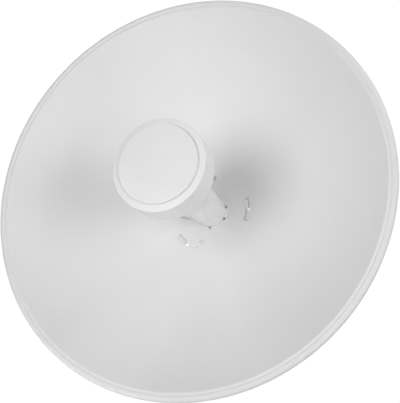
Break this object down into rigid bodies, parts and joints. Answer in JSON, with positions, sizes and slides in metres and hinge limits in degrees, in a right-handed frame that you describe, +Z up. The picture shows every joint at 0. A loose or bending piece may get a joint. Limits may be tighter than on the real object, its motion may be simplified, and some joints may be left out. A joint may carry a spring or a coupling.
{
  "type": "wireless dish antenna",
  "caption": "Small parabolic wireless dish antenna with a front feed, a rolled rim and a rear ball joint on a toothed pole bracket with a band clamp.",
  "frame": {"origin": "centre of the pole bracket's flat saddle face, which lies against the pole", "axes": "+Y from the saddle into the pole, the dish looks along -Y, +Z up along the pole"},
  "size_m": [0.42, 0.2938, 0.42],
  "materials": {
    "white_paint": "matt white powder coat with a fine grain",
    "white_plastic": "fine satin moulded white plastic",
    "grey_plastic": "satin light grey reinforced plastic",
    "dark_plastic": "matt black socket plastic",
    "lens": "glossy smoked light pipe",
    "steel": "brushed stainless steel"
  },
  "bodies": {
    "root": {"dish_reflector": "white_paint", "feed_cap_plate": "white_plastic", "feed_cap_ring": "white_plastic", "feed_housing": "white_plastic", "feed_collar": "white_plastic", "bayonet_ring": "white_plastic", "rear_housing": "white_plastic", "housing_cover": "white_plastic", "cover_screw_1": "steel", "cover_screw_2": "steel", "cover_screw_3": "steel", "release_tab": "grey_plastic", "status_lens": "lens", "ground_screw": "steel", "network_socket": "dark_plastic", "ball_socket": "white_plastic", "lock_nut": "grey_plastic", "ball_stem": "grey_plastic", "pole_bracket": "grey_plastic", "clamp_band": "steel", "band_screw_housing": "steel", "band_screw": "steel"}
  },
  "joints": []
}
